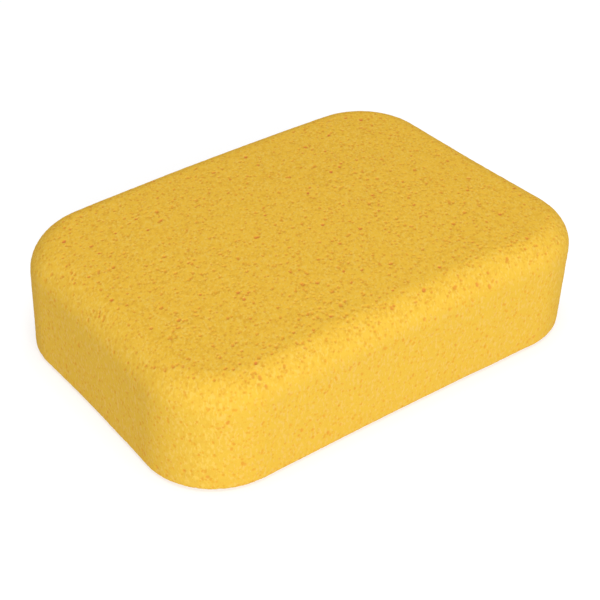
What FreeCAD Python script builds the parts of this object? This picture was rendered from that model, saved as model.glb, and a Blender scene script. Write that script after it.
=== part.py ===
"""Grout sponge: one solid block of open-cell foam, rounded for the hand.

The sponge is a single moulded piece with nothing fixed to it and nothing inside it.
It is a rectangular block with large corner radii in plan, a well-rounded edge round
its upper face and a small round on the edge of the face that it rests on.

Frame: millimetres, +Z up. The origin is the middle of the underside, +X runs along
the sponge and +Y across it.
"""

import os

import FreeCAD, Part  # FreeCAD has to be imported before Part
import Sketcher

NODE = "foam_block"

# Driving dimensions in millimetres: (alias in the sheet, value, meaning)
DIMENSIONS = (
    ("block_length", 190.5, "overall length, 7 1/2 inches"),
    ("block_width", 139.7, "overall width, 5 1/2 inches"),
    ("block_height", 47.6, "overall height, 1 7/8 inches"),
    ("corner_radius", 32.0, "radius of the four upright corners in plan"),
    ("top_edge_radius", 12.0, "round on the edge of the upper face"),
    ("bottom_edge_radius", 3.0, "round on the edge of the underside"),
)

LEVEL_TOLERANCE = 1e-6  # mm; an edge is level when its height changes by less than this
SIZE_TOLERANCE = 0.01  # mm; the finished block may miss the sheet's sizes by this much

CUBIC_MM_PER_LITRE = 1e6

# Sketcher's numbers for points: the two ends of a line, and the sketch's own origin
LINE_START = 1
LINE_END = 2
SKETCH_ORIGIN = (-1, 1)


def make_sheet(doc):
    """Put the driving dimensions in a spreadsheet, one aliased cell each."""
    sheet = doc.addObject("Spreadsheet::Sheet", "Dimensions")
    for row, (alias, value, meaning) in enumerate(DIMENSIONS, start=1):
        sheet.set(f"A{row}", meaning)
        sheet.set(f"B{row}", str(value))
        sheet.setAlias(f"B{row}", alias)
    doc.recompute()
    return sheet


def origin_plane(body, role):
    """Return one of the body's own origin planes, such as XY_Plane."""
    for feature in body.Origin.OriginFeatures:
        if feature.Role == role:
            return feature
    raise RuntimeError(f"{body.Label} has no {role}")


def outline_sketch(body, sheet):
    """Sketch the block's plan: a rectangle centred on the origin, in the XY plane."""
    sketch = body.newObject("Sketcher::SketchObject", "PlanOutline")
    sketch.AttachmentSupport = [(origin_plane(body, "XY_Plane"), "")]
    sketch.MapMode = "FlatFace"

    half_x = sheet.block_length / 2
    half_y = sheet.block_width / 2
    corners = [
        FreeCAD.Vector(-half_x, -half_y, 0),
        FreeCAD.Vector(half_x, -half_y, 0),
        FreeCAD.Vector(half_x, half_y, 0),
        FreeCAD.Vector(-half_x, half_y, 0),
    ]
    for side, start in enumerate(corners):
        end = corners[(side + 1) % len(corners)]
        sketch.addGeometry(Part.LineSegment(start, end), False)

    front, right, back, left = range(len(corners))
    for side, following in ((front, right), (right, back), (back, left), (left, front)):
        joined = Sketcher.Constraint("Coincident", side, LINE_END, following, LINE_START)
        sketch.addConstraint(joined)
    for side in (front, back):
        sketch.addConstraint(Sketcher.Constraint("Horizontal", side))
    for side in (left, right):
        sketch.addConstraint(Sketcher.Constraint("Vertical", side))
    opposite_corners = (front, LINE_START, right, LINE_END)
    sketch.addConstraint(Sketcher.Constraint("Symmetric", *opposite_corners, *SKETCH_ORIGIN))

    add_length(sketch, front, "block_length", sheet)
    add_length(sketch, right, "block_width", sheet)
    return sketch


def add_length(sketch, side, alias, sheet):
    """Constrain one side's length and bind it to the sheet's cell of that name."""
    length = getattr(sheet, alias)
    index = sketch.addConstraint(Sketcher.Constraint("Distance", side, length))
    sketch.renameConstraint(index, alias)
    sketch.setExpression(f"Constraints.{alias}", f"{sheet.Name}.{alias}")


def upright_edges(shape):
    """Name the straight edges that run from the underside to the upper face."""
    names = []
    for number, edge in enumerate(shape.Edges, start=1):
        if edge.BoundBox.ZLength > LEVEL_TOLERANCE:
            names.append(f"Edge{number}")
    return names


def level_edges(shape, height):
    """Name the edges that lie all along the given height."""
    names = []
    for number, edge in enumerate(shape.Edges, start=1):
        box = edge.BoundBox
        offset = max(abs(box.ZMin - height), abs(box.ZMax - height))
        if offset < LEVEL_TOLERANCE:
            names.append(f"Edge{number}")
    return names


def add_round(body, base, name, edges, radius_alias, sheet):
    """Fillet the named edges of a feature with a radius bound to the sheet."""
    fillet = body.newObject("PartDesign::Fillet", name)
    fillet.Base = (base, edges)
    fillet.setExpression("Radius", f"{sheet.Name}.{radius_alias}")
    body.Document.recompute()
    return fillet


def make_foam_block(doc, sheet):
    """Build the sponge: pad the plan, then round its corners and its two rims."""
    body = doc.addObject("PartDesign::Body", "FoamBlock")
    body.Label = NODE

    pad = body.newObject("PartDesign::Pad", "Block")
    pad.Profile = outline_sketch(body, sheet)
    pad.setExpression("Length", f"{sheet.Name}.block_height")
    doc.recompute()

    corners = add_round(body, pad, "Corners", upright_edges(pad.Shape), "corner_radius", sheet)
    upper_rim = level_edges(corners.Shape, sheet.block_height)
    top = add_round(body, corners, "TopRound", upper_rim, "top_edge_radius", sheet)
    lower_rim = level_edges(top.Shape, 0.0)
    body.Tip = add_round(body, top, "BottomRound", lower_rim, "bottom_edge_radius", sheet)
    doc.recompute()
    return body


def check_document(doc):
    """Stop when any object failed to recompute."""
    for item in doc.Objects:
        failed = {"Invalid", "Error"} & set(item.State)
        if failed:
            raise RuntimeError(f"{item.Label} is {sorted(failed)}")


def check_part(part, sheet):
    """Stop unless the part is one valid solid of the size that the sheet gives."""
    shape = part.Shape
    if shape.isNull() or not shape.isValid() or len(shape.Solids) != 1:
        raise RuntimeError(f"{part.Label} is not one valid solid")
    box = shape.optimalBoundingBox(False)
    wanted = (sheet.block_length, sheet.block_width, sheet.block_height)
    for built, asked in zip((box.XLength, box.YLength, box.ZLength), wanted):
        if abs(built - asked) > SIZE_TOLERANCE:
            raise RuntimeError(f"{part.Label} measures {built:.2f} mm, not {asked:.2f} mm")


def main():
    doc = FreeCAD.newDocument("GroutSponge")
    sheet = make_sheet(doc)
    parts = [make_foam_block(doc, sheet)]

    check_document(doc)
    for part in parts:
        check_part(part, sheet)

    os.makedirs("parts", exist_ok=True)
    for part in parts:
        part.Shape.exportStep(f"parts/{part.Label}.step")
        litres = part.Shape.Volume / CUBIC_MM_PER_LITRE
        print(f"{part.Label}: {litres:.3f} litres, {len(part.Shape.Faces)} faces")


main()
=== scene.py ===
"""Looks of the grout sponge: a pitted open-cell foam block on a pale floor.

The foam is one closed mesh. A box lattice is drawn onto the CAD block's rounded shape,
bent a little as dried foam bends, roughened, and pierced with thousands of round pores.
Everything is in metres, in the CAD frame.
"""

import math

import bpy
import numpy as np
from mathutils import Matrix, Vector, kdtree


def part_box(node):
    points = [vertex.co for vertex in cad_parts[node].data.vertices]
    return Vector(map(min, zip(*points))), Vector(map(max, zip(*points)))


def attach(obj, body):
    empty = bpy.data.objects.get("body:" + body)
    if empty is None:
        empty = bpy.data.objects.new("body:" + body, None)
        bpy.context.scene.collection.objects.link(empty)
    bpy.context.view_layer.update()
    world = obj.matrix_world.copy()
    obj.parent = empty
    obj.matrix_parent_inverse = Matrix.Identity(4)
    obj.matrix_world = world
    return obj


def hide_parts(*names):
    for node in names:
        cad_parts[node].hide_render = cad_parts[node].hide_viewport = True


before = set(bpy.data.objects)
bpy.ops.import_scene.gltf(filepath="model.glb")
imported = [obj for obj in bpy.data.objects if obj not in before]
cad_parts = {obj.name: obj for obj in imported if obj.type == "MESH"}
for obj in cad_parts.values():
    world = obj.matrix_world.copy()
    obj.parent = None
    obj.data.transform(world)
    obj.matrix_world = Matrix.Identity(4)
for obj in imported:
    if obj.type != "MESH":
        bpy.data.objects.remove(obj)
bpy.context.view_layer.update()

MM = 0.001
NODE = "foam_block"
SEED = 20  # for the relief
PORE_SEED = 30

# The CAD block's size comes from the frame, and its radii repeat the CAD model's
LOW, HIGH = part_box(NODE)
LENGTH, WIDTH, HEIGHT = HIGH - LOW
HALF = np.array((LENGTH, WIDTH, HEIGHT)) / 2
MIDDLE = np.array((LOW + HIGH) / 2)
CORNER_RADIUS = 32 * MM
TOP_RADIUS = 12 * MM
BOTTOM_RADIUS = 3 * MM

# How the foam departs from a true block. The underside stays flat.
LEAN = (0.93 * MM, -0.57 * MM)  # the upper face moves by this, and the underside back by it
END_HOLLOW = 1.7 * MM  # both ends curve in by this
SWAY = 1.3 * MM  # the middle of the block curves towards +Y by this
TAPER = 0.8 * MM  # it widens towards +X, and shortens towards +Y, by this from the middle
THINNER = 0.22 * MM  # the upper face lies this much lower on the whole
TILT = (1.55 * MM, 1.44 * MM)  # and rises by these towards +X and +Y
TWIST = -0.27 * MM  # and by this at two opposite corners, +X +Y and -X -Y
ARCH = (0.97 * MM, 0.19 * MM)  # its ends and its long sides droop by these
CROWN = 1.5 * MM  # and its middle swells by this

# The foam's mesh
GRID_STEP = 0.30 * MM
CORE_MARGIN = 20 * MM  # rays start this far inside the upper and lower faces
RAY_REACH = 1.01  # the rays end just past the block's box
HALVINGS = 26  # find the surface along a ray to a millionth of a millimetre
CHART_GAP = 4  # cells left free between the sides in the texture

# Relief in millimetres: width of its lumps, height, and more height on the rounded edge
RELIEF = ((0.8, 0.028, 0.014), (1.9, 0.025, 0.035), (14, 0.10, 0))

# Pores: spacing, least and greatest radius, depth over radius, least and greatest redness
PORE_KINDS = (
    (2.0 * MM, (0.30 * MM, 0.50 * MM), 0.45, (0, 0)),
    (4.0 * MM, (0.45 * MM, 0.75 * MM), 0.50, (0, 0.4)),
    (13 * MM, (0.65 * MM, 0.95 * MM), 0.60, (0.3, 1)),
)
BIG_PORE = 0.55 * MM  # pores of this radius and more take the full painted shade inside
BOWL_POWER = 0.8  # shape of a pore's section: 1 is a parabola, and less has steeper walls
LIP = 1.5  # a pore's painted highlight round its rim reaches this many radii from its middle
SIDE_DEPTH = 0.3  # pores on the upright sides keep this share of their depth and redness
RIM_GAIN = 0.25  # and those on the rounded edge up to this much more
RIM_LOSS = 0.5  # while pores of the upper face lose up to this share there
LEVEL_FROM = 0.5  # pores follow the level grain where the normal is higher than this
LOBE_STEP = 0.8  # from one lobe of a pore to the next, in radii
LOBE_STRAY = 0.5  # how far that step strays from the grain
LOBE_SHRINK = (0.7, 1.0)  # least and greatest size of a lobe next to the one before

# Where the foam counts as rounded or as upper face, from its unit normal
ROUND_GAIN = 2.2
UPPER_FROM, UPPER_TO = 0.25, 0.75  # heights of the normal

# Smooth random values
NOISE_VALUES = 4096
NOISE_START = 1000  # moves every place to where the cells' numbers are positive
HASH_FACTORS = (73856093, 19349663, 83492791)

# The foam's cells are drawn out upright and, less, along a level line
GRAIN_TURN = math.radians(-35)  # from Y
LEVEL_GRAIN = np.array((-math.sin(GRAIN_TURN), math.cos(GRAIN_TURN), 0))
UPRIGHT = np.array((0, 0, 1))
GRAIN = (1, 1.6, 2.2)  # across, along the level line, upright


# ---------------------------------------------------------------- shape of the block
def block_distance(points):
    """Signed distance, in metres, from the true rounded block centred on the origin."""
    x, y, z = np.abs(points[:, 0]), np.abs(points[:, 1]), points[:, 2]
    from_corner = np.stack((x - HALF[0] + CORNER_RADIUS, y - HALF[1] + CORNER_RADIUS))
    outside = np.hypot(*np.maximum(from_corner, 0))
    plan = np.minimum(from_corner.max(axis=0), 0) + outside - CORNER_RADIUS
    radius = np.where(z > 0, TOP_RADIUS, BOTTOM_RADIUS)
    rim = np.stack((plan, np.abs(z) - HALF[2])) + radius
    return np.minimum(rim.max(axis=0), 0) + np.hypot(*np.maximum(rim, 0)) - radius


def block_normals(points):
    """Outward unit normals of the true block at these points."""
    reach = 0.02 * MM
    slopes = []
    for axis in np.eye(3):
        step = axis * reach
        slopes.append(block_distance(points + step) - block_distance(points - step))
    normals = np.stack(slopes, axis=1)
    return normals / np.linalg.norm(normals, axis=1, keepdims=True)


def lattice():
    """A closed box of quads: lattice points as integers, faces, and each face's side.

    Sides 0 to 5 are -X, +X, -Y, +Y, -Z and +Z. The faces look outward.
    """
    arc_saving = (2 - math.pi / 2) / 2  # half of what a round saves on its corner, in radii
    cells = [
        round((LENGTH - 2 * arc_saving * CORNER_RADIUS) / GRID_STEP),
        round((WIDTH - 2 * arc_saving * CORNER_RADIUS) / GRID_STEP),
        round((HEIGHT - arc_saving * (TOP_RADIUS + BOTTOM_RADIUS)) / GRID_STEP),
    ]
    quads, sides = [], []
    for axis in range(3):
        across, along = (axis + 1) % 3, (axis + 2) % 3
        i, j = np.meshgrid(range(cells[across]), range(cells[along]), indexing="ij")
        for end in (0, 1):
            ring = ((0, 0), (1, 0), (1, 1), (0, 1))
            if end == 0:
                ring = ring[::-1]
            corners = np.empty((i.size, 4, 3), int)
            for turn, (di, dj) in enumerate(ring):
                corners[:, turn, axis] = end * cells[axis]
                corners[:, turn, across] = i.ravel() + di
                corners[:, turn, along] = j.ravel() + dj
            quads.append(corners)
            sides.append(np.full(i.size, 2 * axis + end))
    quads, sides = np.concatenate(quads), np.concatenate(sides)
    strides = np.array(((cells[1] + 1) * (cells[2] + 1), cells[2] + 1, 1))
    keys, faces = np.unique(quads @ strides, return_inverse=True)
    nodes = np.stack(
        (keys // strides[0], keys // strides[1] % (cells[1] + 1), keys % strides[1]), axis=1
    )
    return nodes, faces.reshape(-1, 4), sides, quads, np.array(cells)


def onto_block(nodes, cells):
    """Move lattice points onto the true block along rays from a small box inside it."""
    box = (nodes / cells * 2 - 1) * HALF
    core = HALF - np.array((CORNER_RADIUS, CORNER_RADIUS, CORE_MARGIN))
    start = np.clip(box, -core, core)
    near, far = np.zeros(len(box)), np.ones(len(box)) * RAY_REACH
    for _ in range(HALVINGS):
        middle = (near + far) / 2
        inside = block_distance(start + (box - start) * middle[:, None]) < 0
        near = np.where(inside, middle, near)
        far = np.where(inside, far, middle)
    return start + (box - start) * near[:, None]


def bend(points):
    """Warp the block as a dried sponge warps, and put it in the CAD block's place.

    u, v and w run from -1 to 1 along X, Y and Z.
    """
    u, v, w = (points / HALF).T
    bent = points.copy()
    bent[:, 0] += LEAN[0] * w - END_HOLLOW * u * (1 - v * v) - TAPER * u * v
    bent[:, 1] += LEAN[1] * w + SWAY * (1 - u * u) + TAPER * u * v
    rise = TILT[0] * u + TILT[1] * v + TWIST * u * v - THINNER
    rise += CROWN * (1 - u * u) * (1 - v * v) - ARCH[0] * u * u - ARCH[1] * v * v
    bent[:, 2] += rise * (w + 1) / 2  # nothing at the underside, all at the upper face
    return bent + MIDDLE


# ---------------------------------------------------------------- relief and pores
def soft_noise(points, cell, seed):
    """Smooth random values from -1 to 1 that change over about one cell, in metres."""
    random = np.random.default_rng(seed)
    table = random.uniform(-1, 1, NOISE_VALUES)
    scaled = points / cell + NOISE_START
    base = np.floor(scaled).astype(np.int64)
    part = scaled - base
    part = part * part * (3 - 2 * part)
    total = np.zeros(len(points))
    for corner in np.ndindex(2, 2, 2):
        x, y, z = ((base + corner) * HASH_FACTORS).T
        key = x ^ y ^ z
        weight = np.where(corner, part, 1 - part).prod(axis=1)
        total += table[key % len(table)] * weight
    return total


class Foam:
    """The foam's mesh while it is being made.

    Each point has a depth, in metres along its normal, and values from 0 to 1: how much
    painted shade it takes inside a pore and painted highlight round a pore's rim, red for how
    far it lies in a red pore, and roundness and upper for how far it belongs to the rounded
    edge and the upper face.
    """

    def __init__(self):
        nodes, self.faces, self.sides, self.quads, self.cells = lattice()
        true_points = onto_block(nodes, self.cells)
        self.normals = block_normals(true_points)
        self.points = bend(true_points)
        self.depth = np.zeros(len(self.points))
        self.painted_pit_shade = np.zeros(len(self.points))
        self.painted_lip = np.zeros(len(self.points))
        self.red = np.zeros(len(self.points))
        self.roundness = self.find_roundness()
        height = self.normals[:, 2]
        self.upper = np.clip((height - UPPER_FROM) / (UPPER_TO - UPPER_FROM), 0, 1)

    def find_roundness(self):
        """1 on the rounded edges and corners, falling to 0 on the flat faces."""
        flatness = (self.normals**2).max(axis=1)
        return np.clip(ROUND_GAIN * (1 - flatness), 0, 1)

    def roughen(self):
        """Relief of the cut cells, coarser along the rounded edge, and broad swells."""
        for number, (cell, height, more) in enumerate(RELIEF):
            noise = soft_noise(self.points, cell * MM, SEED + number)
            self.depth += (height + more * self.roundness) * MM * noise

    def vertex_areas(self):
        """The area round each vertex, for an even scatter."""
        corners = self.points[self.faces]
        first, second = corners[:, 2] - corners[:, 0], corners[:, 3] - corners[:, 1]
        areas = np.linalg.norm(np.cross(first, second), axis=1) / 2
        return np.bincount(self.faces.ravel(), np.repeat(areas / 4, 4), len(self.points))

    def pierce(self, pores):
        """Sink each pore (centre, radius, depth, redness) into the surface."""
        tree = kdtree.KDTree(len(self.points))
        for index, point in enumerate(self.points):
            tree.insert(point, index)
        tree.balance()
        for centre, radius, depth, redness in pores:
            found = tree.find_range(centre, radius * LIP)
            if not found:
                continue
            index = np.array([entry[1] for entry in found])
            reach = np.array([entry[2] for entry in found]) / radius
            bowl = np.maximum(1 - reach * reach, 0) ** BOWL_POWER
            # painted highlight round the pore's rim, out to a few radii
            painted_lip = np.clip((LIP - reach) / (LIP - 1), 0, 1) * (reach > 1)
            self.painted_lip[index] = np.maximum(self.painted_lip[index], painted_lip)
            self.depth[index] = np.minimum(self.depth[index], -depth * bowl)
            # painted shade inside the pore, full for big pores
            self.painted_pit_shade[index] = np.maximum(self.painted_pit_shade[index], bowl * min(radius / BIG_PORE, 1))
            self.red[index] = np.maximum(self.red[index], bowl * redness)

    def finished_points(self):
        """The mesh points with their depth, flattened where they would pass the floor."""
        finished = self.points + self.normals * self.depth[:, None]
        finished[:, 2] = np.maximum(finished[:, 2], 0)
        return finished


def scatter(foam, spacing, radii, depth_ratio, redness, seed):
    """Random pores about one per spacing squared, each of one or two round lobes."""
    random = np.random.default_rng(seed)
    areas = foam.vertex_areas()
    count = int(areas.sum() / spacing**2)
    starts = random.choice(len(areas), count, replace=False, p=areas / areas.sum())
    pores = []
    for start in starts:
        normal = foam.normals[start]
        radius = radii[0] + (radii[1] - radii[0]) * random.uniform() ** 2  # mostly small
        rounded = foam.roundness[start]
        on_top = foam.upper[start] * (1 - RIM_LOSS * rounded)
        share = max(on_top, SIDE_DEPTH + RIM_GAIN * rounded)
        red = random.uniform(*redness) * share
        grain = LEVEL_GRAIN if normal[2] > LEVEL_FROM else UPRIGHT
        centre = foam.points[start]
        for _ in range(random.integers(1, 3)):
            pores.append((centre, radius, radius * depth_ratio * share, red))
            step = grain + LOBE_STRAY * random.normal(size=3)
            step -= step.dot(normal) * normal
            centre = centre + step / np.linalg.norm(step) * radius * LOBE_STEP
            radius *= random.uniform(*LOBE_SHRINK)
    return pores


def make_pores(foam):
    """Every pore of the sponge, from the many small ones to the few large red ones."""
    pores = []
    for number, kind in enumerate(PORE_KINDS):
        pores += scatter(foam, *kind, PORE_SEED + number)
    return pores


# ---------------------------------------------------------------- mesh object
def chart_offsets(cells):
    """Where each side lies in the texture, in cells: (u, v), and whether it is turned."""
    x, y, z = cells
    gap = CHART_GAP
    return {
        5: (0, 0, True),
        4: (y + gap, 0, True),
        2: (0, x + gap, False),
        3: (0, x + z + 2 * gap, False),
        0: (2 * (y + gap), 0, True),
        1: (2 * (y + gap), y + gap, True),
    }


def texture_places(foam):
    """One texture coordinate for each face corner, an unfolded box in the unit square."""
    x, y, z = foam.cells
    size = max(2 * (y + CHART_GAP) + z, x + 2 * (z + CHART_GAP))
    places = np.empty((len(foam.quads), 4, 2))
    axes = {0: (1, 2), 1: (1, 2), 2: (0, 2), 3: (0, 2), 4: (0, 1), 5: (0, 1)}
    for side, (u, v, turned) in chart_offsets(foam.cells).items():
        chosen = foam.sides == side
        first, second = axes[side]
        if turned:
            first, second = second, first
        places[chosen, :, 0] = foam.quads[chosen][:, :, first] + u
        places[chosen, :, 1] = foam.quads[chosen][:, :, second] + v
    return places / size


def build_mesh(foam):
    """The foam as a mesh, with what its material needs to know at every point."""
    mesh = bpy.data.meshes.new("foam")
    points, faces = foam.finished_points(), foam.faces
    mesh.vertices.add(len(points))
    mesh.vertices.foreach_set("co", points.astype(np.float32).ravel())
    mesh.loops.add(faces.size)
    mesh.loops.foreach_set("vertex_index", faces.astype(np.int32).ravel())
    mesh.polygons.add(len(faces))
    mesh.polygons.foreach_set("loop_start", np.arange(0, faces.size, 4, dtype=np.int32))
    mesh.update(calc_edges=True)
    mesh.shade_smooth()
    layer = mesh.uv_layers.new(name="OFBake")
    layer.uv.foreach_set("vector", texture_places(foam).astype(np.float32).ravel())
    # the first two values carry painted shade inside the pores and painted highlights round their
    # rims
    for name, values in (
        ("painted_pit_shade", foam.painted_pit_shade), ("painted_lip", foam.painted_lip), ("red", foam.red),
        ("upper", foam.upper), ("rounded", foam.roundness),
    ):
        attribute = mesh.attributes.new(name, "FLOAT", "POINT")
        attribute.data.foreach_set("value", values.astype(np.float32))
    return mesh


class Nodes:
    """Short ways to add and link nodes in one material's tree."""

    def __init__(self, tree):
        self.tree = tree

    def add(self, kind, **settings):
        node = self.tree.nodes.new("ShaderNode" + kind)
        for name, value in settings.items():
            setattr(node, name, value)
        return node

    def link(self, source, target):
        self.tree.links.new(source, target)

    def attribute(self, name):
        """A value that the mesh carries."""
        return self.add("Attribute", attribute_name=name).outputs["Fac"]

    def noise(self, cell, detail, place):
        """A noise pattern whose lumps are about one cell wide, in metres."""
        node = self.add("TexNoise")
        node.inputs["Scale"].default_value = 1 / cell
        node.inputs["Detail"].default_value = detail
        self.link(place, node.inputs["Vector"])
        return node.outputs["Fac"]

    def cells(self, width, place):
        """Random cells this wide: distance from each cell's middle, and a value per cell."""
        node = self.add("TexVoronoi")
        node.inputs["Scale"].default_value = 1 / width
        self.link(place, node.inputs["Vector"])
        return node.outputs["Distance"], node.outputs["Color"]

    def stretched(self, place, turn, scale):
        """The same place in axes turned about Z, with patterns drawn out by this scale."""
        node = self.add("Mapping", vector_type="TEXTURE")
        node.inputs["Rotation"].default_value = (0, 0, turn)
        node.inputs["Scale"].default_value = scale
        self.link(place, node.inputs["Vector"])
        return node.outputs["Vector"]

    def wobbled(self, place, cell, amount):
        """The same place moved by up to about this amount, in lumps one cell wide."""
        noise = self.add("TexNoise")
        noise.inputs["Scale"].default_value = 1 / cell
        self.link(place, noise.inputs["Vector"])
        node = self.add("VectorMath", operation="MULTIPLY_ADD")
        self.link(noise.outputs["Color"], node.inputs[0])
        node.inputs[1].default_value = (amount, amount, amount)
        self.link(place, node.inputs[2])
        return node.outputs["Vector"]

    def remap(self, value, low, high, to_low=0.0, to_high=1.0):
        """A smooth step from to_low to to_high while the value goes from low to high."""
        node = self.add("MapRange", interpolation_type="SMOOTHSTEP")
        self.link(value, node.inputs["Value"])
        for name, number in (
            ("From Min", low), ("From Max", high), ("To Min", to_low), ("To Max", to_high),
        ):
            node.inputs[name].default_value = number
        return node.outputs["Result"]

    def times(self, first, second):
        return self.math("MULTIPLY", first, second)

    def larger(self, first, second):
        return self.math("MAXIMUM", first, second)

    def math(self, operation, first, second):
        node = self.add("Math", operation=operation)
        for socket, value in zip(node.inputs, (first, second)):
            if isinstance(value, (int, float)):
                socket.default_value = value
            else:
                self.link(value, socket)
        return node.outputs["Value"]

    def tint(self, colour, factor, towards, strength=1):
        """Mix one colour towards another by a factor socket, times a strength.

        Each colour is three numbers or a socket.
        """
        node = self.add("Mix", data_type="RGBA")
        if strength != 1:
            factor = self.times(factor, strength)
        self.link(factor, node.inputs["Factor"])
        for name, value in (("A", colour), ("B", towards)):
            if isinstance(value, tuple):
                node.inputs[name].default_value = (*value, 1)
            else:
                self.link(value, node.inputs[name])
        return node.outputs["Result"]


# Linear colours of the foam, with the light and shade painted on it
# painted light: the upright sides and the upper face get different yellows of the one foam, set
# to how brightly the lamps light each
SIDE_PAINTED_LIGHT_YELLOW = (0.640, 0.384, 0.040)
TOP_PAINTED_LIGHT_YELLOW = (0.700, 0.411, 0.039)
# painted shade: a duller, less red yellow for the rounded edge, where the key lamp lights it
# brightly
RIM_PAINTED_SHADE = (0.650, 0.400, 0.046)
DRIFT_YELLOW = (0.655, 0.40, 0.033)
SMUDGE_ORANGE = (0.60, 0.32, 0.026)
# partly painted shade in the foam's smallest pores, partly their own orange-brown tint
CELL_SHADE_AND_TINT = (0.52, 0.24, 0.022)
# painted highlights: pale glints where the walls of the cells catch the light
SIDE_PAINTED_GLINT = (0.665, 0.415, 0.096)
TOP_PAINTED_GLINT = (0.71, 0.470, 0.085)
# painted highlight round the rim of each modelled pore
LIP_PAINTED_HIGHLIGHT = (0.70, 0.45, 0.070)
# painted shade inside the modelled pores, with the deeper yellow of light bouncing in them
SIDE_PIT_SHADE = (0.61, 0.28, 0.018)
TOP_PIT_SHADE = (0.58, 0.26, 0.022)
PORE_RED = (0.56, 0.13, 0.040)


def foam_base_colour(nodes, place, upper, rounded):
    """The yellow of the block, with painted light: the sides, the upper face and the rounded edge
    each get a yellow set to how the lamps light them; and slow drifts of hue.
    """
    # painted light: the sides and the upper face get different yellows, set to how they are lit
    colour = nodes.tint(SIDE_PAINTED_LIGHT_YELLOW, upper, TOP_PAINTED_LIGHT_YELLOW)
    # painted shade on the rounded edge, set against the key lamp's bright light there
    colour = nodes.tint(colour, rounded, RIM_PAINTED_SHADE, strength=0.5)
    drift = nodes.remap(nodes.noise(cell=6 * MM, detail=2, place=place), low=0.38, high=0.66)
    return nodes.tint(colour, drift, DRIFT_YELLOW, strength=0.30)


def add_small_cells(nodes, colour, drawn, upper, rounded):
    """Cells too small to be modelled as pores: dark ones, partly painted shade and partly
    orange-brown tint, fewer on the sides, and painted highlights on the walls between.
    """
    twisted = nodes.wobbled(drawn, cell=1.2 * MM, amount=0.9 * MM)
    coarse = nodes.larger(upper, nodes.times(rounded, 0.6))
    coarse = nodes.remap(coarse, low=0, high=1, to_low=0.20, to_high=1.0)

    smudge = nodes.remap(nodes.noise(cell=1.6 * MM, detail=3, place=twisted), low=0.47, high=0.66)
    colour = nodes.tint(colour, nodes.times(smudge, coarse), SMUDGE_ORANGE, strength=0.52)

    # dark cells: partly painted shade of the smallest pores, partly their orange-brown tint
    distance, chance = nodes.cells(width=1.4 * MM, place=twisted)
    middle = nodes.remap(distance, low=0.55, high=0.10)
    cell_shade_and_tint = nodes.times(middle, nodes.remap(chance, low=0.40, high=0.65))
    colour = nodes.tint(colour, nodes.times(cell_shade_and_tint, coarse), CELL_SHADE_AND_TINT, strength=0.45)

    # painted highlights: pale glints on the cell walls
    painted_glint = nodes.remap(nodes.noise(cell=0.85 * MM, detail=1, place=drawn), low=0.50, high=0.68)
    pale = nodes.tint(SIDE_PAINTED_GLINT, nodes.larger(upper, rounded), TOP_PAINTED_GLINT)
    return nodes.tint(colour, painted_glint, pale, strength=0.60)


def add_pore_colours(nodes, colour, upper):
    """The modelled pores: a painted highlight round the rim, painted shade inside, and some red.
    """
    # painted highlight round the rims of the modelled pores
    colour = nodes.tint(colour, nodes.attribute("painted_lip"), LIP_PAINTED_HIGHLIGHT, strength=0.10)
    # painted shade inside the modelled pores
    pit_shade_colour = nodes.tint(SIDE_PIT_SHADE, upper, TOP_PIT_SHADE)
    colour = nodes.tint(colour, nodes.attribute("painted_pit_shade"), pit_shade_colour, strength=0.75)
    return nodes.tint(colour, nodes.attribute("red"), PORE_RED, strength=0.8)


def foam_material():
    """Matt yellow foam."""
    material = bpy.data.materials.new("yellow_foam")
    material.use_nodes = True
    nodes = Nodes(material.node_tree)
    shader = material.node_tree.nodes["Principled BSDF"]
    shader.inputs["Roughness"].default_value = 0.95
    shader.inputs["Specular IOR Level"].default_value = 0.08
    place = nodes.add("TexCoord").outputs["Object"]
    drawn = nodes.stretched(place, GRAIN_TURN, GRAIN)
    upper, rounded = nodes.attribute("upper"), nodes.attribute("rounded")

    colour = foam_base_colour(nodes, place, upper, rounded)
    colour = add_small_cells(nodes, colour, drawn, upper, rounded)
    colour = add_pore_colours(nodes, colour, upper)
    nodes.link(colour, shader.inputs["Base Color"])

    bump = nodes.add("Bump")
    bump.inputs["Strength"].default_value = 0.5
    bump.inputs["Distance"].default_value = 0.05 * MM
    nodes.link(nodes.noise(cell=0.55 * MM, detail=1, place=place), bump.inputs["Height"])
    nodes.link(bump.outputs["Normal"], shader.inputs["Normal"])
    return material


def make_sponge():
    """The one piece of the sponge, in place of the CAD block."""
    foam = Foam()
    foam.roughen()
    foam.pierce(make_pores(foam))
    sponge = bpy.data.objects.new("sponge_foam", build_mesh(foam))
    bpy.context.collection.objects.link(sponge)
    sponge.data.materials.append(foam_material())
    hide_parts(NODE)
    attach(sponge, "root")


# ---------------------------------------------------------------- stage
FLOOR_REACH = 4.0  # from the middle to each side
FLOOR_GREY = 0.50
FLOOR_GLOW = 0.53  # with the lamps and the world, this makes the floor white
WORLD_STRENGTH = 0.48

# Lamps: azimuth and elevation in degrees, watts, colour
KEY_LAMP = (-24, 20, 19.4, (0.93, 1.0, 1.15))
TOP_LAMP = (0, 85, 12.3, (1, 1, 1))
LAMP_SIZE = 1.0
LAMP_DISTANCE = 1.6


def sky_direction(azimuth, elevation):
    """Unit vector for a place in the sky, in degrees: azimuth 0 is -Y and 90 is +X."""
    azimuth, elevation = math.radians(azimuth), math.radians(elevation)
    level = math.cos(elevation)
    return Vector((math.sin(azimuth) * level, -math.cos(azimuth) * level, math.sin(elevation)))


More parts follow.
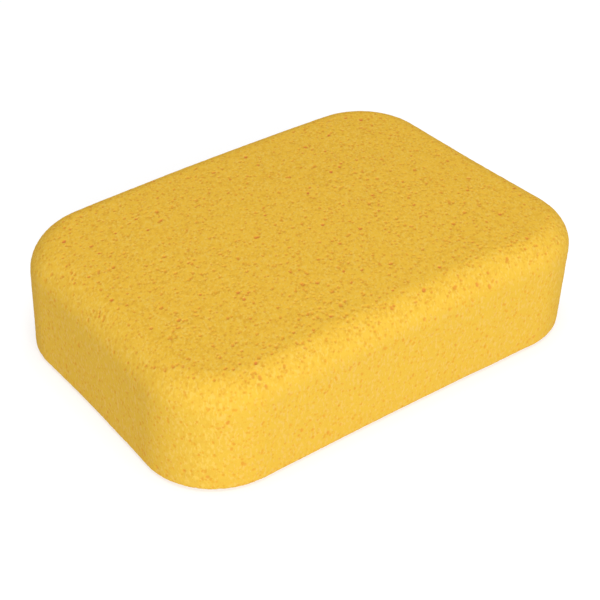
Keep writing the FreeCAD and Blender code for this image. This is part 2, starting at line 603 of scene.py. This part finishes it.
def make_floor():
    """A pale floor under the sponge."""
    mesh = bpy.data.meshes.new("floor")
    far = FLOOR_REACH
    corners = [(-far, -far, 0), (far, -far, 0), (far, far, 0), (-far, far, 0)]
    mesh.from_pydata(corners, [], [(0, 1, 2, 3)])
    floor = bpy.data.objects.new("floor", mesh)
    bpy.context.collection.objects.link(floor)
    material = bpy.data.materials.new("pale_floor")
    material.use_nodes = True
    shader = material.node_tree.nodes["Principled BSDF"]
    shader.inputs["Base Color"].default_value = (FLOOR_GREY, FLOOR_GREY, FLOOR_GREY, 1)
    shader.inputs["Emission Color"].default_value = (1, 1, 1, 1)
    shader.inputs["Emission Strength"].default_value = FLOOR_GLOW
    shader.inputs["Roughness"].default_value = 0.9
    shader.inputs["Specular IOR Level"].default_value = 0.1
    mesh.materials.append(material)


def make_world():
    """Even white light from all round."""
    world = bpy.data.worlds.new("studio")
    world.use_nodes = True
    background = world.node_tree.nodes["Background"]
    background.inputs["Color"].default_value = (1, 1, 1, 1)
    background.inputs["Strength"].default_value = WORLD_STRENGTH
    bpy.context.scene.world = world


def make_lamp(name, azimuth, elevation, watts, colour):
    """A soft square light that shines on the sponge from a place in the sky."""
    direction = sky_direction(azimuth, elevation)
    light = bpy.data.lights.new(name, "AREA")
    light.size = LAMP_SIZE
    light.energy = watts
    light.color = colour
    lamp = bpy.data.objects.new(name, light)
    lamp.location = direction * LAMP_DISTANCE
    lamp.rotation_mode = "QUATERNION"
    lamp.rotation_quaternion = direction.to_track_quat("Z", "Y")
    bpy.context.collection.objects.link(lamp)


def make_camera():
    """The camera looks down on the block from between -X and -Y."""
    azimuth, elevation, roll = -36.31, 34.85, math.radians(-0.64)
    distance = 557.6 * MM
    aside, raised = 0.54 * MM, -9.83 * MM  # from the line through the block's middle
    focal_share = 2.3489  # focal length over the picture's width
    nearest, farthest = 0.01, 20

    back = sky_direction(azimuth, elevation)
    level = sky_direction(azimuth + 90, 0)
    upright = back.cross(level)
    right = math.cos(roll) * level + math.sin(roll) * upright
    above = math.cos(roll) * upright - math.sin(roll) * level
    data = bpy.data.cameras.new("camera")
    data.lens = focal_share * data.sensor_width
    data.clip_start, data.clip_end = nearest, farthest
    camera = bpy.data.objects.new("camera", data)
    turn = Matrix((right, above, back)).transposed()
    camera.rotation_mode = "QUATERNION"
    camera.rotation_quaternion = turn.to_quaternion()
    camera.location = Vector(MIDDLE) + back * distance + right * aside + above * raised
    bpy.context.collection.objects.link(camera)
    bpy.context.scene.camera = camera


make_sponge()
make_floor()
make_world()
make_lamp("key", *KEY_LAMP)
make_lamp("top", *TOP_LAMP)
make_camera()
bpy.context.scene.view_settings.view_transform = "Standard"
